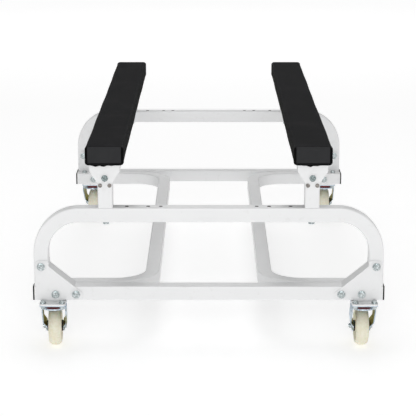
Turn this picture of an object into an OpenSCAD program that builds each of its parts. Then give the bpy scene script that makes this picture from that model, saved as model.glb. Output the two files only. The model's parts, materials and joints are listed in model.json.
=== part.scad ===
// Storage dolly for a personal watercraft: two hooped end frames joined by two C-shaped side rails,
// four posts with tilting carpeted bunks, and four swivel casters.
// X runs to the right, Y from front to rear and Z up. The origin is on the floor under the
// middle of the whole dolly, rear wheels included. Millimetres.

/* [Tube] */
// Outside width of the square tube that every frame member is bent from
tube = 38.1; // [30:0.1:45]
// Wall thickness of the square tube
wall = 2; // [1.5:0.1:3]
// Outside corner radius of the square tube
tube_corner_r = 4; // [3.2:0.2:5]
// Bend radius at the tube's centre line
bend_r = 101; // [85:1:115]

/* [End frames] */
// Width over the two legs of an end frame
frame_w = 902; // [880:2:960]
// Length over the outer faces of the two end frames
frame_len = 1395; // [1200:1:1500]
// Height of the crossbar's underside above the floor
crossbar_z = 137.2; // [132:0.2:150]
// Height of the hoop's top face above the floor
hoop_top = 384; // [380:0.2:392]
// Distances of the spare post holes in the hoop's top from its middle
spare_holes = [123, 155, 210];

/* [Side rails] */
// Distance of each rail's spine from the middle of the dolly
spine_x = 150; // [120:1:170]

/* [Gussets] */
// Thickness of the gusset plates
gusset_t = 4; // [3:0.5:5]
// Height of the gusset's upper bolt above the crossbar
leg_bolt_rise = 53.5; // [45:0.5:60]
// Distance of the outer crossbar bolt from the middle of the dolly
outer_bolt_x = 396; // [392:1:400]
// Distance of the inner crossbar bolt from the middle of the dolly
inner_bolt_x = 343; // [340:1:346]

/* [Bunks] */
// Distance between the centre lines of the two bunks
bunk_span = 528; // [510:1:540]
// Width of a bunk over its carpet
bunk_w = 98; // [97:1:110]
// Height of a bunk over its carpet
bunk_h = 50; // [49:0.5:56]
// Length of a bunk over its carpet
bunk_len = 1420; // [1400:2:1460]
// Width of the board inside a bunk
board_w = 89; // [85:1:90]
// Thickness of the board inside a bunk
board_h = 38; // [36:1:40]
// Height of a bunk's underside above the floor
bunk_z = 497.3; // [492:0.1:506]
// Height of the tilt pivot above the floor
pivot_z = 462.8; // [460:0.1:468]
// Tilt of a bunk to each side, in degrees
tilt_limit = 8; // [4:1:8]

/* [Casters] */
// Distance of the swivel axes from the middle of the dolly
caster_x = 402.5; // [400:0.5:405]
// Wheel diameter
wheel_d = 101.6; // [98:0.2:104]
// Wheel width
wheel_w = 33.5; // [30:0.5:35]
// Distance of the axle behind the swivel axis
trail = 36; // [34:1:38]
// Height of the axle above the floor, half of the wheel diameter
axle_z = 50.8; // [49:0.1:52]
// Spacing of the caster bolts across the dolly
caster_bolt_x = 48.6; // [48:0.2:50]
// Resting swivel of the front left, front right, rear left and rear right casters, in degrees
caster_yaw = [2.5, 1, -7.5, 0];

/* [Hidden] */
$fn = 64;

powder_coat = "whitesmoke";
zinc = "silver";
left = -1;
right = 1;
front = -1;
rear = 1;
sides = [left, right];
ends = [front, rear];

// End frame
crossbar_top = crossbar_z + tube;
leg_x = (frame_w - tube) / 2;
hoop_z = hoop_top - tube / 2;
frame_y = (frame_len - tube) / 2;
cap_t = 4;
bar_half = frame_w / 2;

// Measured inward from an end frame's outer face
crossbar_mid = tube / 2;
rail_face = tube + gusset_t;
rail_mid = rail_face + tube / 2;
rail_back = rail_face + tube;
rail_y = frame_len / 2 - rail_mid;

// Fasteners
m5_r = 2.5;
m6_r = 3;
m8_r = 4;
m10_r = 5;
loose = 0.3;
running = 0.06;
thread_gap = 0.05;
gap = 0.3;

// Crossbar bolts sit a little below the tube's middle, clear of the gusset's diagonal
crossbar_bolt_z = crossbar_z + 17.4;
leg_bolt_z = crossbar_top + leg_bolt_rise;

// Posts and saddles
bunk_x = bunk_span / 2;
post_top = pivot_z + 13;
post_base_t = 4;
saddle_t = 4;
saddle_half = 38.5;
saddle_top = bunk_z;
ear_in = tube / 2 + gap;
lock_x = 12;
lock_drop = 18.7;
lock_r = sqrt(lock_x * lock_x + lock_drop * lock_drop);
lock_angle = atan(lock_x / lock_drop);
lock_slot_half = 2.7;
saddle_screw_x = 27;

// Bunks
carpet_under = (bunk_h - board_h) / 2;
carpet_lip = 4;
panel_w = 85;
panel_h = 42;
panel_t = 3;
// The panel sits near the top of the bunk's end, above a thicker fold of carpet
panel_z = bunk_z + bunk_h - panel_h - 1.5;
board_half = bunk_len / 2 - carpet_lip;

// Casters, heights above the floor
mount_t = 4;
mount_half_w = 33.5;
mount_half_l = 55.5;
plate_top = crossbar_z - mount_t;
plate_t = 3.5;
plate_half_w = 34;
plate_half_l = 52;
plate_under = plate_top - plate_t;
race_under = plate_under - 4.2;
crown_top = plate_under - 11.5;
crown_t = 4;
crown_r = 36;
lower_race_top = crown_top + 1.9;
ball_r = 2.5;
ball_pitch_r = 14;
ball_count = 14;
race_out = 17.5;
kingpin_r = 6;
caster_bolt_y = rail_mid - crossbar_mid;
fork_t = 3;
fork_top_half = 32;
fork_axle_half = 24;
fork_in = fork_axle_half - fork_t;
hub_half = fork_in - 0.5;
sleeve_r = 7;

// The rear wheels trail past the rear frame further than the front mount plates reach forward
origin_y = (trail + wheel_d / 2 - mount_half_l) / 2;

function unit(v) = v / norm(v);

function rectangle(x, y) = [[x, y], [-x, y], [-x, -y], [x, -y]];

// Outline of a square with rounded corners, centred on the origin
function rounded_square(size, r, steps) = [
    for (corner = [0:3], i = [0:steps])
        let (
            a = corner * 90 + i * 90 / steps,
            cx = (corner == 0 || corner == 3) ? 1 : -1,
            cy = corner < 2 ? 1 : -1,
            inset = size / 2 - r
        )
        [cx * inset + r * cos(a), cy * inset + r * sin(a)]
];

// Outline p with each corner rounded to its own radius in r
function rounded_outline(p, r, steps = 4) = [
    for (i = [0:len(p) - 1])
        let (
            n = len(p),
            u = unit(p[(i + n - 1) % n] - p[i]),
            v = unit(p[(i + 1) % n] - p[i]),
            half = acos(u * v) / 2,
            centre = p[i] + unit(u + v) * r[i] / sin(half),
            from = p[i] + u * r[i] / tan(half) - centre,
            to = p[i] + v * r[i] / tan(half) - centre
        )
        for (k = [0:steps]) centre + unit(from * (1 - k / steps) + to * k / steps) * r[i]
];

// Moves the dolly from its frames' middle to its origin
module centred() {
    translate([0, -origin_y, 0]) children();
}

// Puts something drawn for the front right corner at any corner
module at_corner(side, end) {
    mirror([side == left ? 1 : 0, 0, 0])
        mirror([0, end == rear ? 1 : 0, 0]) children();
}

// A cylinder along Y from y0 to y1
module y_rod(r, y0, y1) {
    translate([0, y0, 0]) rotate([-90, 0, 0]) cylinder(r = r, h = y1 - y0);
}

// A cylinder along X from x0 to x1
module x_rod(r, x0, x1) {
    translate([x0, 0, 0]) rotate([0, 90, 0]) cylinder(r = r, h = x1 - x0);
}

module tube_section() {
    difference() {
        polygon(rounded_square(tube, tube_corner_r, 4));
        polygon(rounded_square(tube - 2 * wall, tube_corner_r - wall, 2));
    }
}

// Straight tube along X, centred on the origin
module x_tube(length) {
    rotate([0, 90, 0]) linear_extrude(length, center = true) tube_section();
}

// A quarter bend about the origin in the XY plane, from +X round to +Y
module tube_bend() {
    rotate_extrude(angle = 90, $fn = 96) translate([bend_r, 0]) tube_section();
}

// Bolt along -Z with its flange seated on z = 0
module flange_bolt(r, length) {
    cylinder(r = r * 2.1, h = r * 0.4);
    cylinder(r = r * 1.72, h = r * 1.6, $fn = 6);
    translate([0, 0, -length]) cylinder(r = r, h = length + 0.5);
}

// Nut above z = 0 for a bolt of radius r
module flange_nut(r) {
    difference() {
        union() {
            cylinder(r = r * 2.1, h = r * 0.4);
            cylinder(r = r * 1.72, h = r * 1.7, $fn = 6);
        }
        translate([0, 0, -1]) cylinder(r = r + thread_gap, h = r * 2 + 2);
    }
}

// ---- End frames ----

module hoop(end) {
    straight = leg_x - bend_r;
    bend_z = hoop_z - bend_r;
    color(powder_coat)
        translate([0, end * frame_y, 0])
            difference() {
                union() {
                    translate([0, 0, hoop_z]) x_tube(2 * straight);
                    for (side = sides) {
                        mirror([side == left ? 1 : 0, 0, 0]) {
                            translate([straight, 0, bend_z]) rotate([90, 0, 0]) tube_bend();
                            translate([leg_x, 0, crossbar_top])
                                linear_extrude(bend_z - crossbar_top) tube_section();
                        }
                    }
                }
                for (side = sides) {
                    for (x = concat(spare_holes, bunk_x))
                        translate([side * x, 0, hoop_z - tube])
                            cylinder(r = m10_r + loose, h = 2 * tube);
                    translate([side * leg_x, 0, leg_bolt_z])
                        y_rod(m10_r + loose, -tube, tube);
                }
            }
}

module crossbar(end) {
    color(powder_coat)
        translate([0, end * frame_y, 0])
            difference() {
                translate([0, 0, crossbar_z + tube / 2]) x_tube(2 * bar_half);
                for (side = sides, x = [inner_bolt_x, outer_bolt_x])
                    translate([side * x, 0, crossbar_bolt_z])
                        y_rod(m10_r + loose, -tube, tube);
            }
}

// C-shaped rail: a spine along Y with both ends bent outward beside the crossbars
module rail(side) {
    bend_x = spine_x + bend_r;
    bend_y = rail_y - bend_r;
    arm = bar_half - bend_x;
    color(powder_coat)
        mirror([side == left ? 1 : 0, 0, 0])
            difference() {
                translate([0, 0, crossbar_z + tube / 2]) union() {
                    translate([spine_x, 0, 0]) rotate([0, 0, 90]) x_tube(2 * bend_y);
                    for (end = ends)
                        mirror([0, end == rear ? 1 : 0, 0]) {
                            translate([bend_x, -bend_y, 0]) rotate([0, 0, 180]) tube_bend();
                            translate([bend_x + arm / 2, -rail_y, 0]) x_tube(arm);
                        }
                }
                for (end = ends) translate([0, end * rail_y, 0]) {
                    for (x = [inner_bolt_x, outer_bolt_x])
                        translate([x, 0, crossbar_bolt_z]) y_rod(m10_r + loose, -tube, tube);
                    for (x = [-1, 1])
                        translate([caster_x + x * caster_bolt_x / 2, 0, crossbar_z - 1])
                            cylinder(r = m8_r + loose, h = tube + 2);
                }
            }
}

// Folded corner gusset: a plate on each face of the frame, joined by a web along the diagonal
module gusset(side, end) {
    leg_in = frame_w / 2 - tube;
    leg_out = frame_w / 2 - 5;
    web_top = leg_bolt_z + 1.5;
    web_x = inner_bolt_x + 3.5;
    slope = (web_top - crossbar_top) / (leg_in - web_x);
    toe_x = inner_bolt_x - 16;
    outline = [
        [leg_out, crossbar_z + 16], [leg_out, web_top + 14], [leg_in, web_top + 14],
        [leg_in, web_top], [toe_x, web_top - slope * (leg_in - toe_x)],
        [toe_x, crossbar_z + 3], [leg_out - 18, crossbar_z + 3],
    ];
    radii = [4, 10, 3, 8, 5, 4, 4];
    web = [
        [leg_in, web_top], [web_x, crossbar_top],
        [web_x + gusset_t / slope + gusset_t, crossbar_top], [leg_in, web_top - gusset_t * 1.3],
    ];
    color(powder_coat)
        at_corner(side, end)
            translate([0, -frame_len / 2, 0])
                difference() {
                    union() {
                        for (y = [-gusset_t, tube])
                            translate([0, y + gusset_t, 0]) rotate([90, 0, 0])
                                linear_extrude(gusset_t) polygon(rounded_outline(outline, radii));
                        translate([0, tube + gusset_t / 2, 0]) rotate([90, 0, 0])
                            linear_extrude(tube + gusset_t) polygon(web);
                    }
                    for (p = [[leg_x, leg_bolt_z], [outer_bolt_x, crossbar_bolt_z],
                              [inner_bolt_x, crossbar_bolt_z]])
                        translate([p[0], 0, p[1]])
                            y_rod(m10_r + loose, -2 * gusset_t, rail_face + gusset_t);
                }
}

// Black plug in the open end of a tube, drawn with its flange against x = 0
module end_cap() {
    plug = tube - 2 * wall - 0.4;
    rotate([0, 90, 0]) {
        linear_extrude(cap_t) polygon(rounded_square(tube, tube_corner_r, 4));
        translate([0, 0, -12])
            difference() {
                linear_extrude(12.5) polygon(rounded_square(plug, 2, 2));
                translate([0, 0, -1]) linear_extrude(11) square(plug - 4, center = true);
            }
    }
}

module tube_end_caps() {
    color("black")
        for (side = sides, end = ends, y = [crossbar_mid, rail_mid])
            at_corner(side, end)
                translate([bar_half, -frame_len / 2 + y, crossbar_z + tube / 2]) end_cap();
}

module gusset_bolts() {
    color(zinc)
        for (side = sides, end = ends)
            at_corner(side, end) translate([0, -frame_len / 2, 0]) {
                bolt_and_nut(leg_x, leg_bolt_z, rail_face);
                bolt_and_nut(outer_bolt_x, crossbar_bolt_z, rail_back);
                bolt_and_nut(inner_bolt_x, crossbar_bolt_z, rail_back);
            }
}

// M10 bolt from the gusset's outer face, with its nut on the face at depth y
module bolt_and_nut(x, z, y) {
    translate([x, -gusset_t, z]) rotate([90, 0, 0]) flange_bolt(m10_r, y + gusset_t + 12);
    translate([x, y, z]) rotate([-90, 0, 0]) flange_nut(m10_r);
}

// ---- Casters, frame side ----

// The four bolt positions of a caster, from its swivel axis
module at_caster_bolts() {
    for (x = [-1, 1], y = [-1, 1])
        translate([x * caster_bolt_x / 2, y * caster_bolt_y, 0]) children();
}

// Puts something drawn about the swivel axis at a corner of the frame
module at_swivel(side, end) {
    translate([side * caster_x, end * frame_y, 0]) children();
}

// White plate welded under the crossbar, reaching out in front of it and in under the rail
module caster_mount(side, end) {
    color(powder_coat)
        at_swivel(side, end) translate([0, 0, plate_top])
            difference() {
                linear_extrude(mount_t)
                    polygon(rounded_outline(rectangle(mount_half_w, mount_half_l), [8, 8, 8, 8]));
                at_caster_bolts() translate([0, 0, -1]) cylinder(r = m8_r + loose, h = mount_t + 2);
            }
}

// Zinc top plate of a caster, with the upper ball race under it
module caster_plate(side, end) {
    color(zinc)
        at_swivel(side, end)
            difference() {
                union() {
                    translate([0, 0, plate_under]) linear_extrude(plate_t)
                        polygon(rounded_outline(
                            rectangle(plate_half_w, plate_half_l), [6, 6, 6, 6]));
                    translate([0, 0, race_under])
                        cylinder(r = race_out, h = plate_under - race_under + 1);
                }
                at_caster_bolts() translate([0, 0, plate_under - 1])
                    cylinder(r = m8_r + loose, h = plate_t + 2);
                translate([0, 0, race_under - 1]) cylinder(r = kingpin_r + thread_gap, h = 20);
            }
}

// Outer pair seated on the mount plate, inner pair seated on the rail and passing through it
module caster_bolts() {
    grip_out = crossbar_z - plate_under;
    nut_len = 9;
    color(zinc)
        for (side = sides, end = ends)
            at_corner(side, end) translate([caster_x, -frame_y, 0])
                for (x = [-1, 1]) translate([x * caster_bolt_x / 2, 0, 0]) {
                    translate([0, -caster_bolt_y, crossbar_z])
                        flange_bolt(m8_r, grip_out + nut_len);
                    translate([0, caster_bolt_y, crossbar_top])
                        flange_bolt(m8_r, grip_out + tube + nut_len);
                    for (y = [-1, 1])
                        translate([0, y * caster_bolt_y, plate_under])
                            rotate([180, 0, 0]) flange_nut(m8_r);
                }
}

// Riveted kingpin with its nut under the fork's crown
module kingpins() {
    nut_top = crown_top - crown_t - gap;
    nut_h = 8;
    color(zinc)
        for (side = sides, end = ends) at_swivel(side, end) {
            translate([0, 0, nut_top - nut_h - 1])
                cylinder(r = kingpin_r, h = plate_top - nut_top + nut_h + 1);
            translate([0, 0, nut_top - nut_h]) cylinder(r = 10.4, h = nut_h, $fn = 6);
        }
}

module swivel_balls() {
    ball_z = (race_under + lower_race_top) / 2;
    color("gray")
        for (side = sides, end = ends, i = [1:ball_count])
            at_swivel(side, end) rotate([0, 0, i * 360 / ball_count])
                translate([ball_pitch_r, 0, ball_z]) sphere(r = ball_r, $fn = 24);
}

module dust_seals() {
    color("firebrick")
        for (side = sides, end = ends) at_swivel(side, end)
            translate([0, 0, crown_top + 0.5])
                difference() {
                    cylinder(r = 19.8, h = 10);
                    translate([0, 0, -1]) cylinder(r = race_out + 0.15, h = 12);
                }
}

// ---- Casters, swivelling side ----

// Puts something drawn about a swivel axis, trailing towards +Y, at its corner and rest angle
module at_caster(side, end) {
    yaw = caster_yaw[(side + 1) / 2 + (end + 1)];
    translate([side * caster_x, end * frame_y, 0]) rotate([0, 0, yaw]) children();
}

// Stamped fork: a round crown and two legs that slope back to the axle and step in towards it
module fork(side, end) {
    crown_under = crown_top - crown_t;
    eye_r = 14;
    lean = atan(trail / (crown_under - axle_z));
    // Where a leg steps in, measured up its slope from the axle
    step_top = 27;
    step_bottom = 11;
    far = 3 * crown_r;
    leg_side = concat(
        [[-15, crown_top], [-15, crown_under - 1], [-20, crown_under - 10]],
        [for (a = [200:20:380]) [trail + eye_r * cos(a), axle_z + eye_r * sin(a)]],
        [[26, crown_under - 10], [15, crown_under - 1], [15, crown_top]]
    );
    leg_front = [
        [fork_top_half, far], [fork_top_half, step_top], [fork_axle_half, step_bottom],
        [fork_axle_half, -far], [fork_in, -far], [fork_in, step_bottom],
        [fork_top_half - fork_t, step_top], [fork_top_half - fork_t, far],
    ];
    color(zinc)
        at_caster(side, end)
            difference() {
                union() {
                    intersection() {
                        translate([0, 0, crown_under]) cylinder(r = crown_r, h = crown_t);
                        translate([-fork_top_half, -crown_r, crown_under])
                            cube([2 * fork_top_half, 2 * crown_r, crown_t]);
                    }
                    translate([0, 0, crown_top - 1])
                        cylinder(r = race_out - gap, h = lower_race_top - crown_top + 1);
                    for (x = sides)
                        mirror([x == left ? 1 : 0, 0, 0])
                            intersection() {
                                translate([0, trail, axle_z]) rotate([90 + lean, 0, 0])
                                    linear_extrude(far * 2, center = true) polygon(leg_front);
                                rotate([90, 0, 90]) linear_extrude(fork_top_half + 1)
                                    polygon(leg_side);
                            }
                }
                translate([0, 0, crown_under - 1])
                    cylinder(r = kingpin_r + running, h = crown_t + 6);
                translate([0, trail, axle_z])
                    x_rod(m8_r + thread_gap, -fork_top_half, fork_top_half);
            }
}

// Axle bolt with its head on the right of the fork and a lock nut on the left
module axle_bolt(side, end) {
    hex_r = 7.5;
    flange_r = 8.6;
    flange_t = 1.4;
    head_h = 5.5;
    nut_h = 8;
    nut_gap = 0.05;
    color(zinc)
        at_caster(side, end) translate([0, trail, axle_z]) {
            x_rod(m8_r, -fork_axle_half - nut_h - 1.5, fork_axle_half + nut_gap + 0.5);
            translate([fork_axle_half + nut_gap, 0, 0]) rotate([0, 90, 0]) {
                cylinder(r = flange_r, h = flange_t);
                cylinder(r = hex_r, h = head_h, $fn = 6);
            }
            translate([-fork_axle_half - nut_gap, 0, 0]) rotate([0, -90, 0])
                difference() {
                    union() {
                        cylinder(r = flange_r, h = flange_t);
                        cylinder(r = hex_r, h = nut_h - 2, $fn = 6);
                        cylinder(r = hex_r - 1.4, h = nut_h);
                    }
                    translate([0, 0, -1]) cylinder(r = m8_r + thread_gap, h = nut_h + 2);
                }
        }
}

module axle_sleeve(side, end) {
    color("gray")
        at_caster(side, end) translate([0, trail, axle_z])
            difference() {
                x_rod(sleeve_r, -fork_in + thread_gap, fork_in - thread_gap);
                x_rod(m8_r + thread_gap, -fork_in - 1, fork_in + 1);
            }
}

// Nylon wheel: rounded tread, recessed web and a hub that runs on the sleeve
module wheel(side, end) {
    half = wheel_w / 2;
    rim_r = wheel_d / 2;
    rim_in = rim_r - 12;
    hub_r = 14;
    web_half = 9;
    tread_steps = 12;
    drop = 7.5;
    section = concat(
        [for (i = [-tread_steps:tread_steps])
            let (x = i / tread_steps) [rim_r - drop * pow(abs(x), 2.8), half * x]],
        [[rim_in, half], [rim_in - 2, web_half], [hub_r + 2, web_half], [hub_r, hub_half],
         [sleeve_r + running, hub_half], [sleeve_r + running, -hub_half],
         [hub_r, -hub_half], [hub_r + 2, -web_half], [rim_in - 2, -web_half], [rim_in, -half]]
    );
    color("lightyellow")
        at_caster(side, end) translate([0, trail, axle_z]) rotate([0, 90, 0])
            rotate_extrude($fn = 96) polygon(section);
}

// ---- Posts ----

module post(side, end) {
    color(powder_coat)
        translate([side * bunk_x, end * frame_y, 0])
            difference() {
                union() {
                    translate([0, 0, hoop_top]) linear_extrude(post_top - hoop_top) tube_section();
                    translate([0, 0, hoop_top]) linear_extrude(post_base_t)
                        polygon(rounded_square(tube, tube_corner_r, 4));
                }
                translate([0, 0, hoop_top - 1])
                    cylinder(r = m10_r + loose, h = post_base_t + 2);
                translate([0, 0, pivot_z]) {
                    y_rod(m8_r + thread_gap, -tube, tube);
                    for (x = [-1, 1])
                        translate([x * lock_x, 0, -lock_drop]) y_rod(m5_r + thread_gap, -tube, tube);
                }
            }
}

// Bolt from under the hoop into a nut on the post's base plate
module post_bolts() {
    base_top = hoop_top + post_base_t;
    color(zinc)
        for (side = sides, end = ends) translate([side * bunk_x, end * frame_y, 0]) {
            translate([0, 0, hoop_top - tube]) rotate([180, 0, 0])
                flange_bolt(m10_r, tube + post_base_t + 12);
            translate([0, 0, base_top]) flange_nut(m10_r);
        }
}

// Tilt pivots through the saddle's ears and the post
module pivot_bolts() {
    seat = ear_in + saddle_t + gap;
    color(zinc)
        for (side = sides, end = ends)
            at_corner(side, end) translate([bunk_x, -frame_y, pivot_z]) {
                translate([0, -seat, 0]) rotate([90, 0, 0]) flange_bolt(m8_r, 2 * seat + 10);
                translate([0, seat, 0]) rotate([-90, 0, 0]) flange_nut(m8_r);
            }
}

// Small screws through the ears' arc slots into the post, which hold the tilt
module tilt_lock_screws() {
    seat = ear_in + saddle_t + gap;
    color("rosybrown")
        for (side = sides, end = ends, y = [0, 180], x = [-1, 1])
            translate([side * bunk_x, end * frame_y, pivot_z]) rotate([0, 0, y])
                translate([x * lock_x, -seat, -lock_drop]) {
                    y_rod(m5_r, -0.5, seat - tube / 2 + wall + 4);
                    y_rod(5.2, -2, 0);
                    y_rod(3.6, -3.6, 0);
                }
}

// ---- Bunks ----

// Puts something drawn about a post's axis at its corner
module at_post(side, end) {
    translate([side * bunk_x, end * frame_y, 0]) children();
}

// Arc slot about the pivot, long enough for the whole tilt
module lock_slot() {
    start = lock_angle - tilt_limit;
    stop = lock_angle + tilt_limit;
    mid = -90;
    outer = [for (a = [start:2:stop]) (lock_r + lock_slot_half) * [cos(mid + a), sin(mid + a)]];
    inner = [for (a = [stop:-2:start]) (lock_r - lock_slot_half) * [cos(mid + a), sin(mid + a)]];
    polygon(concat(outer, inner));
    for (a = [start, stop])
        translate(lock_r * [cos(mid + a), sin(mid + a)]) circle(r = lock_slot_half, $fn = 12);
}

// Folded saddle: a seat under the bunk and an ear down each face of the post
module saddle(side, end) {
    seat_z = saddle_top - pivot_z;
    ear = [
        [-saddle_half, seat_z], [-saddle_half, 17.5], [-18.6, -13], [-17.4, -33.5],
        [17.4, -33.5], [18.6, -13], [saddle_half, 17.5], [saddle_half, seat_z],
    ];
    radii = [0.5, 6, 8, 5, 5, 8, 6, 0.5];
    depth = 2 * (ear_in + saddle_t);
    color(powder_coat)
        at_post(side, end) translate([0, 0, pivot_z])
            difference() {
                union() {
                    for (y = [-ear_in, ear_in + saddle_t])
                        translate([0, y, 0]) rotate([90, 0, 0]) linear_extrude(saddle_t)
                            difference() {
                                polygon(rounded_outline(ear, radii));
                                for (x = [0, 1]) mirror([x, 0]) lock_slot();
                            }
                    translate([-saddle_half, -depth / 2, seat_z - saddle_t])
                        cube([2 * saddle_half, depth, saddle_t]);
                }
                y_rod(m8_r + running, -tube, tube);
                for (x = [-1, 1])
                    translate([x * saddle_screw_x, 0, seat_z - saddle_t - 1])
                        cylinder(r = m6_r + loose, h = saddle_t + 2);
            }
}

// Lag screws from under each saddle up into the board
module saddle_screws(side) {
    grip = carpet_under + 24;
    color(zinc)
        for (end = ends, x = [-1, 1])
            at_post(side, end) translate([x * saddle_screw_x, 0, saddle_top - saddle_t])
                rotate([180, 0, 0]) flange_bolt(m6_r, saddle_t + grip);
}

// Holes for the lag screws, with radius r, from height z0 up to z1
module saddle_screw_holes(side, r, z0, z1) {
    for (end = ends, x = [-1, 1])
        at_post(side, end) translate([x * saddle_screw_x, 0, z0]) cylinder(r = r, h = z1 - z0);
}

module bunk_board(side) {
    board_z = bunk_z + carpet_under;
    color("burlywood")
        difference() {
            translate([side * bunk_x - board_w / 2, -board_half, board_z])
                cube([board_w, 2 * board_half, board_h]);
            saddle_screw_holes(side, m6_r + thread_gap, board_z - 1, board_z + 26);
        }
}

// A bar of rectangular section along Y, centred in X, with rounded long edges
module bar(w, h, r, length) {
    rotate([90, 0, 0]) linear_extrude(length, center = true) translate([0, h / 2])
        polygon(rounded_outline(rectangle(w / 2, h / 2), [r, r, r, r]));
}

// Carpet wrapped round the board, standing a little past it at both ends
module bunk_carpet(side) {
    fit = 0.2;
    color("black")
        difference() {
            translate([side * bunk_x, 0, bunk_z])
                difference() {
                    bar(bunk_w, bunk_h, 8, bunk_len);
                    translate([0, 0, carpet_under - fit])
                        bar(board_w + 2 * fit, board_h + 2 * fit, 0.5, bunk_len + 2);
                    for (end = ends)
                        translate([0, end * (board_half + 5), panel_z - bunk_z - fit])
                            bar(panel_w + 2 * fit, panel_h + 2 * fit, 1, 10);
                }
            saddle_screw_holes(side, m6_r + loose, bunk_z - 1, bunk_z + carpet_under + 1);
        }
}

// Flat panels that close the two ends of a bunk
module bunk_end_panels(side) {
    color("dimgray")
        for (end = ends)
            translate([side * bunk_x, end * (board_half + panel_t / 2), panel_z])
                bar(panel_w, panel_h, 2, panel_t);
}

centred() hoop(front);  // front_hoop
centred() hoop(rear);  // rear_hoop
centred() crossbar(front);  // front_crossbar
centred() crossbar(rear);  // rear_crossbar
centred() rail(left);  // left_rail
centred() rail(right);  // right_rail
centred() gusset(left, front);  // front_left_gusset
centred() gusset(right, front);  // front_right_gusset
centred() gusset(left, rear);  // rear_left_gusset
centred() gusset(right, rear);  // rear_right_gusset
centred() caster_mount(left, front);  // front_left_caster_mount
centred() caster_mount(right, front);  // front_right_caster_mount
centred() caster_mount(left, rear);  // rear_left_caster_mount
centred() caster_mount(right, rear);  // rear_right_caster_mount
centred() post(left, front);  // front_left_post
centred() post(right, front);  // front_right_post
centred() post(left, rear);  // rear_left_post
centred() post(right, rear);  // rear_right_post
centred() tube_end_caps();
centred() gusset_bolts();
centred() caster_bolts();
centred() post_bolts();
centred() pivot_bolts();
centred() tilt_lock_screws();
centred() caster_plate(left, front);  // front_left_caster_plate
centred() caster_plate(right, front);  // front_right_caster_plate
centred() caster_plate(left, rear);  // rear_left_caster_plate
centred() caster_plate(right, rear);  // rear_right_caster_plate
centred() kingpins();
centred() swivel_balls();
centred() dust_seals();
centred() fork(left, front);  // front_left_fork
centred() fork(right, front);  // front_right_fork
centred() fork(left, rear);  // rear_left_fork
centred() fork(right, rear);  // rear_right_fork
centred() axle_bolt(left, front);  // front_left_axle_bolt
centred() axle_bolt(right, front);  // front_right_axle_bolt
centred() axle_bolt(left, rear);  // rear_left_axle_bolt
centred() axle_bolt(right, rear);  // rear_right_axle_bolt
centred() axle_sleeve(left, front);  // front_left_axle_sleeve
centred() axle_sleeve(right, front);  // front_right_axle_sleeve
centred() axle_sleeve(left, rear);  // rear_left_axle_sleeve
centred() axle_sleeve(right, rear);  // rear_right_axle_sleeve
centred() wheel(left, front);  // front_left_wheel
centred() wheel(right, front);  // front_right_wheel
centred() wheel(left, rear);  // rear_left_wheel
centred() wheel(right, rear);  // rear_right_wheel
centred() bunk_board(left);  // left_bunk_board
centred() bunk_board(right);  // right_bunk_board
centred() bunk_carpet(left);  // left_bunk_carpet
centred() bunk_carpet(right);  // right_bunk_carpet
centred() bunk_end_panels(left);  // left_bunk_end_panels
centred() bunk_end_panels(right);  // right_bunk_end_panels
centred() saddle(left, front);  // front_left_saddle
centred() saddle(right, front);  // front_right_saddle
centred() saddle(left, rear);  // rear_left_saddle
centred() saddle(right, rear);  // rear_right_saddle
centred() saddle_screws(left);  // left_saddle_screws
centred() saddle_screws(right);  // right_saddle_screws
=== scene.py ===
"""Looks for the watercraft storage dolly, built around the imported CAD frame. Metres throughout."""

import json
import math
import random

import bmesh
import bpy
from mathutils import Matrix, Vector


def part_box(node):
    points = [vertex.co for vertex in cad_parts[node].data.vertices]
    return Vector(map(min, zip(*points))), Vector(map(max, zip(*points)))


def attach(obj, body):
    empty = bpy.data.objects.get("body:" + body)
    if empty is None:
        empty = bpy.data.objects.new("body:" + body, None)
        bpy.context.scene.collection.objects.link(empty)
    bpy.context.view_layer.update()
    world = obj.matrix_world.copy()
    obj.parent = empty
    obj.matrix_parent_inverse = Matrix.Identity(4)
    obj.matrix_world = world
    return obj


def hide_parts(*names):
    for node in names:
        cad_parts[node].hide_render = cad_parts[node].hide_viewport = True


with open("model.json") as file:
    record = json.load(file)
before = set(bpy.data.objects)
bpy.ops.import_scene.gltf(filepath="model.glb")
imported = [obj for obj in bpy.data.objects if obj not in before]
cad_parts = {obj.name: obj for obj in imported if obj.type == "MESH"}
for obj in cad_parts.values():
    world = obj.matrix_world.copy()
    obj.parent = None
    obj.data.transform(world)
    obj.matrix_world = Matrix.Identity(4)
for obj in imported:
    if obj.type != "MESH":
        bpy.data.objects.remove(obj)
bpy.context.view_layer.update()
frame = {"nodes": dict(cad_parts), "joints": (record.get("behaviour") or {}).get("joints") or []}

random.seed(11)
MM = 0.001
SIDES = ("left", "right")
CORNERS = ("front_left", "front_right", "rear_left", "rear_right")
JOINTS = {joint["name"]: joint for joint in frame["joints"]}


# ---- Camera, light and floor ----

# Millimetres, metres in front of the crossbar, metres above the floor, and degrees
LENS, CAMERA_BACK, CAMERA_HEIGHT = 130.57, 3.734, 1.3235
TILT_DOWN, TURN_LEFT = 14.12, 0.027
WHITE = (1, 1, 1, 1)


def make_camera():
    """Stands in front of the middle of the dolly, well above it, and looks down at it."""
    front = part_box("front_crossbar")[0].y
    data = bpy.data.cameras.new("camera")
    data.sensor_width = 36
    data.lens = LENS
    camera = bpy.data.objects.new("camera", data)
    camera.location = (0, front - CAMERA_BACK, CAMERA_HEIGHT)
    camera.rotation_euler = (math.radians(90 - TILT_DOWN), 0, math.radians(TURN_LEFT))
    bpy.context.scene.collection.objects.link(camera)
    bpy.context.scene.camera = camera


def softbox(name, place, aim, size, power):
    """A square area light at place that faces aim and isn't seen itself."""
    data = bpy.data.lights.new(name, "AREA")
    data.shape = "SQUARE"
    data.size = size
    data.energy = power
    light = bpy.data.objects.new(name, data)
    light.location = place
    light.rotation_euler = (Vector(aim) - Vector(place)).to_track_quat("-Z", "Y").to_euler()
    light.visible_camera = False
    bpy.context.scene.collection.objects.link(light)


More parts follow.
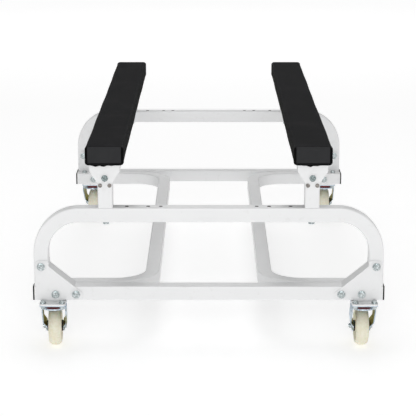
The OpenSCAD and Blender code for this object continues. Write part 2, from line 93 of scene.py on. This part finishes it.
def world_range(tree, value, low, high, to_low, to_high):
    """A socket that goes from to_low to to_high as value goes from low to high."""
    node = tree.nodes.new("ShaderNodeMapRange")
    for key, number in (("From Min", low), ("From Max", high),
                        ("To Min", to_low), ("To Max", to_high)):
        node.inputs[key].default_value = number
    tree.links.new(value, node.inputs["Value"])
    return node.outputs["Result"]


def make_studio():
    """A white room, dimmer to the sides and bright along the horizon, with three softboxes."""
    scene = bpy.context.scene
    scene.view_settings.view_transform = "Standard"
    scene.world = bpy.data.worlds.new("studio")
    scene.world.use_nodes = True
    tree = scene.world.node_tree
    direction = tree.nodes.new("ShaderNodeSeparateXYZ")
    tree.links.new(tree.nodes.new("ShaderNodeTexCoord").outputs["Generated"],
                   direction.inputs["Vector"])
    sideways = tree.nodes.new("ShaderNodeMath")
    sideways.operation = "ABSOLUTE"
    tree.links.new(direction.outputs["X"], sideways.inputs[0])
    strength = world_range(tree, sideways.outputs["Value"], 0.25, 0.95, 0.62, 0.22)
    horizon = world_range(tree, direction.outputs["Z"], 0.03, 0.16, 0.88, 0)
    brighter = tree.nodes.new("ShaderNodeMath")
    brighter.operation = "MAXIMUM"
    tree.links.new(strength, brighter.inputs[0])
    tree.links.new(horizon, brighter.inputs[1])
    background = tree.nodes["Background"]
    background.inputs["Color"].default_value = WHITE
    tree.links.new(brighter.outputs["Value"], background.inputs["Strength"])
    middle = (0, 0, 0.3)
    softbox("front_light", (0, -9, 2.6), middle, 4.5, 215)
    softbox("top_light", (0, 0, 4.5), middle, 3.0, 26)
    softbox("back_light", (0, 6, 3.0), middle, 3.0, 20)


def make_floor():
    """A pale floor that glows more with distance, so that it meets the white room softly."""
    data = bpy.data.meshes.new("floor")
    half = 30
    data.from_pydata([(-half, -half, 0), (half, -half, 0), (half, half, 0), (-half, half, 0)],
                     [], [(0, 1, 2, 3)])
    floor = bpy.data.objects.new("floor", data)
    bpy.context.scene.collection.objects.link(floor)
    look = Look("floor", {"Roughness": 0.9})
    look.colour(look.blend(look.noise(3), (0.93, 0.93, 0.93), (0.95, 0.95, 0.95)))
    look.bsdf.inputs["Emission Color"].default_value = WHITE
    distance = look.add("VectorMath", {0: look.place}, operation="LENGTH").outputs["Value"]
    look.tree.links.new(look.remap(distance, 3, 8, 0.36, 0.5),
                        look.bsdf.inputs["Emission Strength"])
    look.put_on(floor)


# ---- Materials ----

# The Mix node has a pair of inputs and an output for each kind of data: these are its colours
MIX_A, MIX_B, MIX_OUT = 6, 7, 2


class Look:
    """A material in the making: one Principled shader and short calls for the nodes behind it."""

    def __init__(self, name, constants=()):
        self.material = bpy.data.materials.new(name + "_finish")
        self.material.use_nodes = True
        self.tree = self.material.node_tree
        self.bsdf = self.tree.nodes["Principled BSDF"]
        for key, value in dict(constants).items():
            self.bsdf.inputs[key].default_value = value
        self.place = self.add("TexCoord").outputs["Object"]

    def add(self, kind, inputs=(), **settings):
        node = self.tree.nodes.new("ShaderNode" + kind)
        for key, value in settings.items():
            setattr(node, key, value)
        for key, value in dict(inputs).items():
            if isinstance(value, bpy.types.NodeSocket):
                self.tree.links.new(value, node.inputs[key])
            else:
                node.inputs[key].default_value = value
        return node

    def stretched(self, x, y, z):
        """The object's coordinates, scaled by a factor on each axis."""
        return self.add("Mapping", {"Vector": self.place, "Scale": (x, y, z)}).outputs["Vector"]

    def noise(self, scale, detail=2.0, place=None):
        inputs = {"Vector": place or self.place, "Scale": scale, "Detail": detail}
        return self.add("TexNoise", inputs).outputs["Fac"]

    def bands(self, period, direction, distortion):
        """Waves of this period in metres along one axis."""
        scale = math.pi / (10 * period)
        inputs = {"Vector": self.place, "Scale": scale, "Distortion": distortion,
                  "Detail Scale": 0.6}
        return self.add("TexWave", inputs, bands_direction=direction).outputs["Fac"]

    def math(self, operation, a, b=0.0):
        return self.add("Math", {0: a, 1: b}, operation=operation).outputs["Value"]

    def remap(self, value, low, high, to_low, to_high):
        inputs = {"Value": value, "From Min": low, "From Max": high,
                  "To Min": to_low, "To Max": to_high}
        return self.add("MapRange", inputs).outputs["Result"]

    def blend(self, amount, a, b):
        """Colour a where amount is 0, colour b where it is 1."""
        ends = [c if isinstance(c, bpy.types.NodeSocket) else (*c, 1) for c in (a, b)]
        mix = self.add("Mix", {"Factor": amount}, data_type="RGBA")
        for socket, value in zip((mix.inputs[MIX_A], mix.inputs[MIX_B]), ends):
            if isinstance(value, bpy.types.NodeSocket):
                self.tree.links.new(value, socket)
            else:
                socket.default_value = value
        return mix.outputs[MIX_OUT]

    def colour(self, socket):
        self.tree.links.new(socket, self.bsdf.inputs["Base Color"])

    def roughness(self, value, low, high):
        """Roughness from low to high, as value goes from 0.3 to 0.7."""
        self.tree.links.new(self.remap(value, 0.3, 0.7, low, high), self.bsdf.inputs["Roughness"])

    def bump(self, *layers):
        """Stacks bumps, each a height and the depth in metres that it stands for."""
        normal = None
        for height, depth in layers:
            inputs = {"Height": height, "Distance": depth, "Strength": 1.0}
            if normal:
                inputs["Normal"] = normal
            normal = self.add("Bump", inputs).outputs["Normal"]
        self.tree.links.new(normal, self.bsdf.inputs["Normal"])

    def put_on(self, piece):
        piece.data.materials.clear()
        piece.data.materials.append(self.material)


def powder_coat():
    """Near-white powder coat with fine orange peel and a trace of handling grime."""
    look = Look("powder_coat", {"Coat Weight": 0.25, "Coat Roughness": 0.18})
    cloudy = look.noise(9, 3)
    grime = look.remap(look.noise(55, 5), 0.62, 0.75, 0, 0.35)
    clean = look.blend(cloudy, (0.775, 0.780, 0.785), (0.805, 0.808, 0.810))
    look.colour(look.blend(grime, clean, (0.66, 0.655, 0.645)))
    look.roughness(look.noise(35, 3), 0.32, 0.44)
    look.bump((look.noise(420, 1), 0.00012), (look.noise(1400, 1), 0.00002))
    return look


def plated(name, light, dark, low, high):
    """Electroplated steel: cloudy tone, roughness from low to high, and fine pitting."""
    look = Look(name, {"Metallic": 1.0})
    grain = 300
    look.colour(look.blend(look.remap(look.noise(grain, 3), 0.35, 0.65, 0, 1), dark, light))
    look.roughness(look.noise(grain * 0.6, 3), low, high)
    look.bump((look.noise(grain, 2), 0.00025), (look.noise(grain * 5, 2), 0.00002))
    return look


def caster_zinc():
    """Plated stampings: bluish on the outer faces; the faces that look inwards are darker and
    yellower, which is painted shade on top of the plating's yellow tint.
    """
    look = Look("caster_zinc", {"Metallic": 1.0})
    middle = abs(sum(c.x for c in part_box("front_left_caster_plate"))) / 2
    place = look.add("SeparateXYZ", {0: look.place})
    facing = look.add("SeparateXYZ", {0: look.add("TexCoord").outputs["Normal"]})
    side = look.math("SIGN", place.outputs["X"])
    outward = look.math("SUBTRACT", look.math("ABSOLUTE", place.outputs["X"]), middle)
    turned = look.math("MULTIPLY", facing.outputs["X"], side)
    inward = look.math("MULTIPLY", look.math("SIGN", outward), turned)
    # Painted shade: faces that look in towards the wheel get a darker, yellower colour than the
    # outer faces
    inside = look.remap(inward, -0.25, -0.05, 1, 0)
    cloudy = look.noise(160, 4)
    blue = look.blend(cloudy, (0.36, 0.44, 0.52), (0.66, 0.74, 0.80))
    olive_shade = look.blend(cloudy, (0.21, 0.19, 0.05), (0.42, 0.39, 0.12))
    look.colour(look.blend(inside, blue, olive_shade))
    look.roughness(look.noise(90, 3), 0.22, 0.42)
    look.bump((look.noise(900, 2), 0.00003))
    return look


def nylon():
    """Ivory nylon: faint mottling, mould sheen and fine lines round the tread."""
    look = Look("nylon", {"Subsurface Weight": 0.12, "Subsurface Scale": 0.004})
    mottled = look.remap(look.noise(180, 4), 0.35, 0.65, 0, 1)
    cloudy = look.blend(look.noise(40, 2), (0.68, 0.64, 0.46), (0.80, 0.77, 0.62))
    look.colour(look.blend(look.math("MULTIPLY", mottled, 0.4), cloudy, (0.88, 0.86, 0.76)))
    look.roughness(look.noise(25, 3), 0.38, 0.55)
    look.bump((look.noise(500, 2), 0.00018),
              (look.noise(120, 1, look.stretched(9, 1, 1)), 0.00006))
    return look


def black_plastic():
    """Moulded black plastic with a fine spark texture."""
    look = Look("black_plastic", {"Specular IOR Level": 0.3})
    look.colour(look.blend(look.noise(80, 3), (0.010, 0.010, 0.011), (0.018, 0.018, 0.019)))
    look.roughness(look.noise(50, 3), 0.42, 0.56)
    look.bump((look.noise(1500, 2), 0.00005))
    return look


def red_rubber():
    """Matt red rubber with a faint unevenness."""
    look = Look("red_rubber")
    look.colour(look.blend(look.noise(120, 3), (0.30, 0.018, 0.012), (0.45, 0.035, 0.022)))
    look.roughness(look.noise(80, 3), 0.5, 0.65)
    look.bump((look.noise(900, 2), 0.00004))
    return look


def timber():
    """Planed softwood with its grain along the board."""
    look = Look("timber")
    along = look.stretched(1, 0.05, 1)
    grain = look.noise(140, 5, along)
    rings = look.noise(26, 2, along)
    pale = look.blend(rings, (0.62, 0.45, 0.26), (0.50, 0.33, 0.17))
    look.colour(look.blend(look.remap(grain, 0.5, 0.8, 0, 0.7), pale, (0.33, 0.19, 0.09)))
    look.roughness(grain, 0.6, 0.8)
    look.bump((grain, 0.0002))
    return look


def carpet():
    """Black ribbed marine carpet with fuzzy fibres; its sides and ends are painted darker than its
    top as painted shade.
    """
    look = Look("carpet", {"Roughness": 1.0, "Sheen Weight": 0.015, "Sheen Roughness": 0.5,
                           "Specular IOR Level": 0.08})
    ribs = look.bands(4.2 * MM, "Y", 0.35)
    fibres = look.noise(900, 4)
    worn = look.noise(14, 3)
    base = look.blend(look.remap(fibres, 0.35, 0.7, 0, 1), (0.005, 0.005, 0.006),
                      (0.020, 0.020, 0.021))
    raised = look.blend(look.math("MULTIPLY", ribs, 0.5), base, (0.030, 0.030, 0.032))
    faded = look.blend(look.remap(worn, 0.5, 0.75, 0, 0.4), raised, (0.028, 0.028, 0.030))
    # Painted shade: faces that don't face up are blended towards near-black
    up = look.add("SeparateXYZ", {0: look.add("TexCoord").outputs["Normal"]}).outputs["Z"]
    look.colour(look.blend(look.remap(up, 0.1, 0.8, 0.9, 0), faded, (0.002, 0.002, 0.002)))
    look.bump((ribs, 0.0007), (fibres, 0.0006))
    return look


def panel():
    """Smooth dark plastic sheet with a very fine grain and a few faint scuffs."""
    look = Look("panel", {"Specular IOR Level": 0.22})
    scuffs = look.remap(look.noise(300, 3, look.stretched(0.15, 1, 1)), 0.6, 0.75, 0, 0.5)
    look.colour(look.blend(scuffs, (0.013, 0.0135, 0.015), (0.024, 0.025, 0.027)))
    look.roughness(look.noise(60, 3), 0.42, 0.56)
    look.bump((look.noise(1200, 2), 0.00003))
    return look


def make_looks():
    return {
        "powder_coat": powder_coat(),
        "zinc": plated("zinc", (0.64, 0.68, 0.69), (0.24, 0.28, 0.28), 0.16, 0.30),
        "yellow_zinc": plated("yellow_zinc", (0.34, 0.32, 0.30), (0.13, 0.12, 0.11), 0.3, 0.45),
        "dark_zinc": plated("dark_zinc", (0.36, 0.41, 0.41), (0.10, 0.13, 0.13), 0.18, 0.32),
        "bare_steel": plated("bare_steel", (0.50, 0.50, 0.50), (0.36, 0.36, 0.36), 0.25, 0.4),
        "caster_zinc": caster_zinc(),
        "black_plastic": black_plastic(),
        "red_rubber": red_rubber(),
        "nylon": nylon(),
        "timber": timber(),
        "carpet": carpet(),
        "panel": panel(),
    }


# ---- CAD nodes ----

# Square tube, whose corners are round in the CAD already
TUBES = ("hoop", "crossbar", "rail")
BEVEL_WIDTH = {
    "powder_coat": 0.6 * MM, "zinc": 0.5 * MM, "yellow_zinc": 0.4 * MM, "caster_zinc": 0.5 * MM,
    "black_plastic": 0.7 * MM, "panel": 0.9 * MM, "nylon": 0.5 * MM, "timber": 1.5 * MM,
}


def finish_cad_node(piece, looks):
    """Gives a CAD node its finish, and rounds its edges for the light to catch."""
    slot = piece.data.materials[0].name.split(".")[0]
    looks["dark_zinc" if piece.name == "pivot_bolts" else slot].put_on(piece)
    if slot not in BEVEL_WIDTH or piece.name.endswith(TUBES):
        return
    normals = piece.data.attributes.get("custom_normal")
    if normals:
        piece.data.attributes.remove(normals)
    piece.data.polygons.foreach_set("use_smooth", [True] * len(piece.data.polygons))
    weld = piece.modifiers.new("weld", "WELD")
    weld.merge_threshold = 0.005 * MM
    bevel = piece.modifiers.new("bevel", "BEVEL")
    bevel.width = BEVEL_WIDTH[slot]
    bevel.segments = 2
    bevel.limit_method = "ANGLE"
    bevel.angle_limit = math.radians(35)
    bevel.use_clamp_overlap = True
    flat = piece.modifiers.new("flat_faces", "WEIGHTED_NORMAL")
    flat.keep_sharp = True


# ---- Mesh helpers ----

def new_piece(name, points, faces, look, slot, body):
    data = bpy.data.meshes.new(name)
    data.from_pydata([tuple(p) for p in points], [], faces)
    piece = bpy.data.objects.new(name, data)
    bpy.context.scene.collection.objects.link(piece)
    tidy_mesh(piece)
    look.put_on(piece)
    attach(piece, body)
    return piece


def tidy_mesh(piece):
    """Welds doubled points, turns every face outwards and shades the mesh smooth."""
    mesh = bmesh.new()
    mesh.from_mesh(piece.data)
    bmesh.ops.remove_doubles(mesh, verts=mesh.verts, dist=0.001 * MM)
    bmesh.ops.recalc_face_normals(mesh, faces=mesh.faces)
    for face in mesh.faces:
        face.smooth = True
    mesh.to_mesh(piece.data)
    mesh.free()


def loft(rings, capped=True):
    """Points and faces of a skin over rings that all have the same number of points."""
    count = len(rings[0])
    points = [p for ring in rings for p in ring]
    faces = [
        (r * count + i, r * count + (i + 1) % count,
         (r + 1) * count + (i + 1) % count, (r + 1) * count + i)
        for r in range(len(rings) - 1) for i in range(count)
    ]
    if capped:
        faces.append(tuple(range(count)))
        last = (len(rings) - 1) * count
        faces.append(tuple(last + i for i in reversed(range(count))))
    return points, faces


def turned(profile, centre, turn, steps=48):
    """Points and faces of a closed (along, radius) profile spun about an axis through centre."""
    rings = [
        [centre + turn @ Vector((at, r * math.cos(2 * math.pi * k / steps),
                                 r * math.sin(2 * math.pi * k / steps)))
         for k in range(steps)]
        for at, r in profile
    ]
    return loft(rings + rings[:1], capped=False)


def gathered(parts):
    """Joins (points, faces) pairs into one."""
    points, faces = [], []
    for some, skin in parts:
        faces += [tuple(len(points) + n for n in face) for face in skin]
        points += some
    return points, faces


def smoothstep(x, low, high):
    """0 below low, 1 above high, and a smooth rise between them."""
    t = min(1.0, max(0.0, (x - low) / (high - low)))
    return t * t * (3 - 2 * t)


# ---- Bunk carpets ----

CORNER_STEPS, ACROSS_STEPS, UP_STEPS, LIP_STEPS = 6, 14, 7, 8
EDGE_R = 8 * MM
RING_STEP = 6 * MM
# The pocket's floor is this far in front of the board's end, so that no timber shows past the panel
POCKET_GAP = 0.15 * MM
MOST_PUFF = 1.6 * MM
CLOTH_FRAMES = 20


def rectangle_outline(low, high, radius):
    """(x, z) points round a rectangle with rounded corners, always the same number of them."""
    points = []
    corners = [(high[0], low[1], -90), (high[0], high[1], 0), (low[0], high[1], 90),
               (low[0], low[1], 180)]
    for index, (x, z, start) in enumerate(corners):
        centre = (x - math.copysign(radius, x - (low[0] + high[0]) / 2),
                  z - math.copysign(radius, z - (low[1] + high[1]) / 2))
        for step in range(CORNER_STEPS + 1):
            angle = math.radians(start + 90 * step / CORNER_STEPS)
            points.append((centre[0] + radius * math.cos(angle),
                           centre[1] + radius * math.sin(angle)))
        following = corners[(index + 1) % 4]
        steps = UP_STEPS if index % 2 == 0 else ACROSS_STEPS
        here = points[-1]
        there_x = following[0] - math.copysign(radius, following[0] - (low[0] + high[0]) / 2)
        there_z = following[1] - math.copysign(radius, following[1] - (low[1] + high[1]) / 2)
        there = (here[0], there_z) if index % 2 == 0 else (there_x, here[1])
        for step in range(1, steps):
            share = step / steps
            points.append((here[0] + share * (there[0] - here[0]),
                           here[1] + share * (there[1] - here[1])))
    return points


def fold_drop(x, lumps):
    """How far the carpet's folds hang below the bunk's end at this distance across it."""
    return sum(depth * math.exp(-((x - at) / width) ** 2) for at, depth, width in lumps)


def carpet_wrap(side, looks):
    """Carpet pulled round the board, rolled over its ends and tucked in behind the panels."""
    low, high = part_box(f"{side}_bunk_carpet")
    panel_low, panel_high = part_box(f"{side}_bunk_end_panels")
    board_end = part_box(f"{side}_bunk_board")[1].y
    middle = (low.x + high.x) / 2
    centre_y = (low.y + high.y) / 2
    shrink = 0.6 * MM
    outer = rectangle_outline((low.x + shrink, low.z), (high.x - shrink, high.z - shrink), EDGE_R)
    seat = 0.25 * MM
    inner = rectangle_outline((panel_low.x - seat, panel_low.z - seat),
                              (panel_high.x + seat, panel_high.z + seat), 2 * MM)
    half = (high.y - low.y) / 2
    lip = half - (board_end - centre_y)
    straight = half - lip
    stations = round(2 * straight / RING_STEP)
    ends = {}
    for end in (-1, 1):
        rings = []
        for step in range(1, LIP_STEPS + 1):
            turn = math.pi * step / LIP_STEPS
            share = (1 - math.cos(turn)) / 2
            y = centre_y + end * (straight + lip * math.sin(turn))
            rings.append([(a[0] + share * (b[0] - a[0]), y, a[1] + share * (b[1] - a[1]))
                          for a, b in zip(outer, inner)])
        floor_y = centre_y + end * (straight + POCKET_GAP)
        rings.append([(x, floor_y, z) for x, z in inner])
        ends[end] = rings
    straight_rings = [
        [(x, centre_y + straight * (2 * i / stations - 1), z) for x, z in outer]
        for i in range(stations + 1)
    ]
    rings = list(reversed(ends[-1])) + straight_rings + ends[1]
    points, faces = loft(rings)
    piece = new_piece(f"{side}_carpet_wrap", points, faces, looks["carpet"], "carpet",
                      f"{side}_bunk")
    held = [v.index for v in piece.data.vertices
            if v.co.z < low.z + 1.5 * MM or abs(v.co.y - centre_y) > straight + 0.1 * MM]
    inflate(piece, held)
    shape_ends(piece, middle, low.z, centre_y, half, straight)
    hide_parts(f"{side}_bunk_carpet")


def inflate(piece, held):
    """Cloth with a little pressure inside, held at the given points.

    Its moves are scaled down alike until none is more than MOST_PUFF.
    """
    scene = bpy.context.scene
    before = [v.co.copy() for v in piece.data.vertices]
    group = piece.vertex_groups.new(name="held")
    group.add(held, 1.0, "REPLACE")
    cloth = piece.modifiers.new("cloth", "CLOTH")
    settings = cloth.settings
    settings.quality = 6
    settings.mass = 0.3
    settings.tension_stiffness = 40
    settings.compression_stiffness = 40
    settings.shear_stiffness = 20
    settings.bending_stiffness = 4
    settings.use_pressure = True
    settings.uniform_pressure_force = 4
    settings.vertex_group_mass = "held"
    settings.effector_weights.gravity = 0
    cloth.point_cache.frame_start = 1
    cloth.point_cache.frame_end = CLOTH_FRAMES
    for number in range(1, CLOTH_FRAMES + 1):
        scene.frame_set(number)
    evaluated = piece.evaluated_get(bpy.context.evaluated_depsgraph_get())
    after = [v.co.copy() for v in evaluated.data.vertices]
    piece.modifiers.remove(cloth)
    piece.vertex_groups.remove(group)
    farthest = max((b - a).length for a, b in zip(before, after))
    share = min(1.0, MOST_PUFF / max(farthest, 1e-9))
    for vertex, a, b in zip(piece.data.vertices, before, after):
        vertex.co = a + (b - a) * share
    scene.frame_set(1)


def shape_ends(piece, middle, bottom, centre_y, half, straight):
    """Slight slackness along the bunk, fuller ends, and lumpy folds under each end."""
    lumps = {
        end: [(random.uniform(-30, 30) * MM, random.uniform(1.2, 2.6) * MM,
               random.uniform(3, 7) * MM) for _ in range(5)]
        for end in (-1, 1)
    }
    phases = [random.uniform(0, 6.28) for _ in range(6)]
    for vertex in piece.data.vertices:
        x = vertex.co.x - middle
        y = vertex.co.y - centre_y
        up = vertex.co.z - bottom
        along = abs(y)
        end = 1 if y > 0 else -1
        wave = (math.sin(y * 9 + phases[0]) + math.sin(y * 23 + phases[1] + x * 20)) * 0.25 * MM
        if up > 3 * MM and along < half - 8 * MM:
            vertex.co.x += math.copysign(1, x) * wave * smoothstep(abs(x), 0.03, 0.045)
            vertex.co.z += wave * smoothstep(up, 0.03, 0.045)
        fuller = smoothstep(along, half - 35 * MM, half - 8 * MM) * (
            1 - smoothstep(along, half - 3 * MM, half + 1 * MM))
        outer = smoothstep(abs(x), 0.044, 0.047)
        vertex.co.x += math.copysign(0.9 * MM, x) * fuller * outer
        hang = smoothstep(along, half - 7.5 * MM, half - 3.5 * MM)
        low_down = 1 - smoothstep(up, 2 * MM, 6.5 * MM)
        vertex.co.z -= hang * low_down * fold_drop(x, lumps[end])


# ---- Small pieces ----

def staples(side, looks):
    """A line of staples down each side of the carpet's overlap under the bunk."""
    low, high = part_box(f"{side}_bunk_carpet")
    middle = (low.x + high.x) / 2
    wire = 0.6 * MM
    crown = 10 * MM
    parts = []
    # The first and last staples are end_gap spacings in from the bunk's ends
    count, end_gap = 26, 1.6
    for line in (-1, 1):
        for i in range(count):
            y = low.y + (high.y - low.y) * (i + end_gap) / (count - 1 + 2 * end_gap)
            x = middle + line * 13 * MM + random.uniform(-1, 1) * MM
            turn = math.radians(random.uniform(-12, 12))
            along = Vector((math.sin(turn), math.cos(turn), 0)) * crown / 2
            centre = Vector((x, y, low.z))
            rings = []
            for share, drop in ((-1, 0.5), (-0.86, -0.5), (0.86, -0.5), (1, 0.5)):
                spot = centre + along * share + Vector((0, 0, drop * MM))
                side_step = Vector((along.y, -along.x, 0)).normalized() * wire / 2
                lift = Vector((0, 0, wire / 2))
                rings.append([spot + side_step, spot + lift, spot - side_step, spot - lift])
            parts.append(loft(rings))
    new_piece(f"{side}_carpet_staples", *gathered(parts), looks["zinc"], "zinc", f"{side}_bunk")


def weld_bead(name, start, end, outward, looks):
    """A rippled fillet along a line, painted over."""
    radius = 2.6 * MM
    start, end, outward = Vector(start), Vector(end), Vector(outward).normalized()
    run = end - start
    along = run.normalized()
    across = along.cross(outward)
    steps = max(8, round(run.length / (1.1 * MM)))
    rings = []
    for i in range(steps + 1):
        share = i / steps
        taper = min(1, 6 * min(share, 1 - share) + 0.25)
        size = radius * taper * (1 + 0.13 * math.cos(i * 2.1)) * random.uniform(0.96, 1.04)
        centre = start + run * share
        rings.append([
            centre + (outward * math.cos(a) + across * math.sin(a)) * size
            for a in (math.radians(k * 45) for k in range(8))
        ])
    new_piece(name, *loft(rings), looks["powder_coat"], "powder_coat", "frame")


def weld_beads(looks):
    """Beads where the caster mounts meet the outer faces of the crossbars."""
    for corner in CORNERS:
        plate_low, plate_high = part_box(f"{corner}_caster_mount")
        end = corner.split("_")[0]
        bar_low, bar_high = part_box(f"{end}_crossbar")
        y = bar_low.y if end == "front" else bar_high.y
        sign = -1 if end == "front" else 1
        inset = 9 * MM
        y -= sign * 1.2 * MM
        z = plate_high.z + 0.6 * MM
        weld_bead(f"{corner}_mount_weld", (plate_low.x + inset, y, z),
                  (plate_high.x - inset, y, z), (0, sign, 1), looks)


# Distances of the spare bolt holes from the middle of a hoop
SPARE_HOLES = (123 * MM, 155 * MM, 210 * MM)


def hole_shade_sleeves(end, looks):
    """Thin black sleeves in the spare bolt holes along a hoop's top: painted shade, a dark piece
    that makes bare holes read dark.
    """
    low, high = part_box(f"{end}_hoop")
    outer, bore, depth = 5.25 * MM, 4.5 * MM, 9 * MM
    profile = [(-depth, outer), (-0.1 * MM, outer), (0, outer - 0.3 * MM), (0, bore),
               (-depth, bore)]
    upright = Vector((0, 0, 1)).to_track_quat("X", "Y").to_matrix()
    points, faces = gathered(
        turned(profile, Vector((sign * x, (low.y + high.y) / 2, high.z)), upright, steps=24)
        for sign in (-1, 1) for x in SPARE_HOLES)
    # Painted shade: black sleeves stand for the shade inside the spare holes
    new_piece(f"{end}_hoop_shade_sleeves", points, faces, looks["black_plastic"], "black_plastic",
              "frame")


def hub_guards(corner, looks):
    """Black caps over both ends of a wheel's hub, close inside the fork legs."""
    joint = JOINTS[f"{corner}_wheel_roll"]
    axis = Vector(joint["axis"]).normalized()
    low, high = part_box(f"{corner}_wheel")
    centre = (low + high) / 2
    bore, hub, thick = 7.6 * MM, 14 * MM, 0.9 * MM
    face, skirt = 20.75 * MM, 16.5 * MM
    profile = [
        (face - 0.3 * MM, bore), (face, bore + 0.4 * MM), (face, hub - 1.5 * MM),
        (face - 0.8 * MM, hub + 0.5 * MM), (face - 2.2 * MM, hub + thick),
        (skirt, hub + thick), (skirt, hub - 0.2 * MM), (face - 0.6 * MM, hub - 0.4 * MM),
        (face - 0.35 * MM, bore),
    ]
    points, faces = gathered(
        turned(profile, centre, (sign * axis).to_track_quat("X", "Z").to_matrix())
        for sign in (-1, 1))
    new_piece(f"{corner}_hub_guards", points, faces, looks["black_plastic"], "black_plastic",
              f"{corner}_roller")


make_camera()
make_studio()
make_floor()
LOOKS = make_looks()
for node in frame["nodes"].values():
    finish_cad_node(node, LOOKS)
for bunk_side in SIDES:
    carpet_wrap(bunk_side, LOOKS)
    staples(bunk_side, LOOKS)
for hoop_end in ("front", "rear"):
    hole_shade_sleeves(hoop_end, LOOKS)
weld_beads(LOOKS)
for corner_name in CORNERS:
    hub_guards(corner_name, LOOKS)
